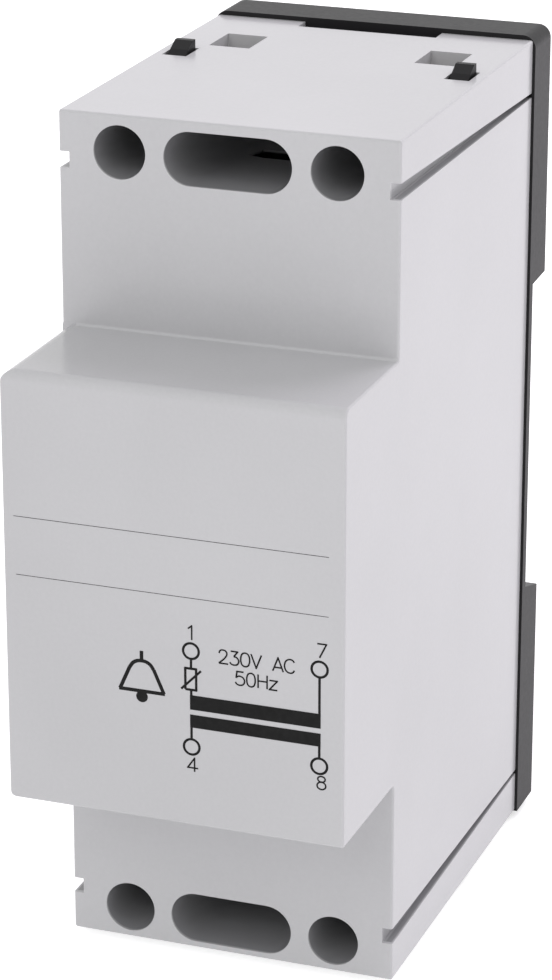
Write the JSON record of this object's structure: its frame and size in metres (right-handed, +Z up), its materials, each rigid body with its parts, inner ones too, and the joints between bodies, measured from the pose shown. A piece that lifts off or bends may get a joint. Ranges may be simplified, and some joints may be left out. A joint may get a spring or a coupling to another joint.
{
  "type": "bell transformer",
  "caption": "Stepped grey bell transformer with a black clip-on base for a 35 mm rail, screw terminals behind front holes and a sliding rail clip.",
  "frame": {"origin": "middle of the base's flat seat on the rail, halfway up the 35 mm rail", "axes": "+Z up, +X to the right seen from the front, +Y back towards the rail, so the front faces -Y"},
  "size_m": [0.0362, 0.0658, 0.0916],
  "materials": {
    "housing_grey": "fine satin moulding",
    "base_black": "fine satin moulding",
    "spring_steel": "bare spring steel",
    "core_steel": "stacked oxide-coated laminations",
    "bobbin_white": "natural moulding",
    "copper": "enamelled winding wire",
    "tape_yellow": "insulating film",
    "ptc_brown": "lacquered disc",
    "plated_steel": "zinc plated",
    "contact_brass": "bright stamped strip",
    "lead_red": "wire insulation",
    "lead_blue": "wire insulation"
  },
  "bodies": {
    "case": {"housing": "housing_grey", "base_plate": "base_black", "clip_spring": "spring_steel", "core_e_stack": "core_steel", "core_i_stack": "core_steel", "bobbin": "bobbin_white", "primary_winding": "copper", "secondary_winding": "copper", "primary_tape": "tape_yellow", "secondary_tape": "tape_yellow", "ptc_thermistor": "ptc_brown", "terminal_1_strip": "contact_brass", "lead_1": "lead_red", "terminal_7_strip": "contact_brass", "lead_7": "lead_red", "terminal_4_strip": "contact_brass", "lead_4": "lead_blue", "terminal_8_strip": "contact_brass", "lead_8": "lead_blue"},
    "rail_clip": {"rail_clip": "base_black"},
    "screw_1": {"terminal_1_screw": "plated_steel"},
    "cage_1": {"terminal_1_cage": "plated_steel"},
    "screw_7": {"terminal_7_screw": "plated_steel"},
    "cage_7": {"terminal_7_cage": "plated_steel"},
    "screw_4": {"terminal_4_screw": "plated_steel"},
    "cage_4": {"terminal_4_cage": "plated_steel"},
    "screw_8": {"terminal_8_screw": "plated_steel"},
    "cage_8": {"terminal_8_cage": "plated_steel"}
  },
  "joints": [
    {"name": "clip_slide", "type": "slide", "parent": "case", "child": "rail_clip", "axis": [0, 0, -1], "range_m": [0, 0.004], "stiffness_N_per_m": 300, "springref_m": -0.004, "deforming": ["clip_spring"]},
    {"name": "screw_1_turn", "type": "hinge", "parent": "case", "child": "screw_1", "pos_m": [-0.01135, -0.025, 0.041], "axis": [0, 1, 0], "range_deg": [0, 3000]},
    {"name": "cage_1_rise", "type": "slide", "parent": "case", "child": "cage_1", "axis": [0, -1, 0], "range_m": [0, 0.005]},
    {"name": "screw_7_turn", "type": "hinge", "parent": "case", "child": "screw_7", "pos_m": [0.01135, -0.025, 0.041], "axis": [0, 1, 0], "range_deg": [0, 3000]},
    {"name": "cage_7_rise", "type": "slide", "parent": "case", "child": "cage_7", "axis": [0, -1, 0], "range_m": [0, 0.005]},
    {"name": "screw_4_turn", "type": "hinge", "parent": "case", "child": "screw_4", "pos_m": [-0.01135, -0.025, -0.04132], "axis": [0, 1, 0], "range_deg": [0, 3000]},
    {"name": "cage_4_rise", "type": "slide", "parent": "case", "child": "cage_4", "axis": [0, -1, 0], "range_m": [0, 0.005]},
    {"name": "screw_8_turn", "type": "hinge", "parent": "case", "child": "screw_8", "pos_m": [0.01135, -0.025, -0.04132], "axis": [0, 1, 0], "range_deg": [0, 3000]},
    {"name": "cage_8_rise", "type": "slide", "parent": "case", "child": "cage_8", "axis": [0, -1, 0], "range_m": [0, 0.005]}
  ],
  "couplings": [
    {"joint": "screw_1_turn", "follows": "cage_1_rise", "rad_per_m": 10472},
    {"joint": "screw_7_turn", "follows": "cage_7_rise", "rad_per_m": 10472},
    {"joint": "screw_4_turn", "follows": "cage_4_rise", "rad_per_m": 10472},
    {"joint": "screw_8_turn", "follows": "cage_8_rise", "rad_per_m": 10472}
  ]
}
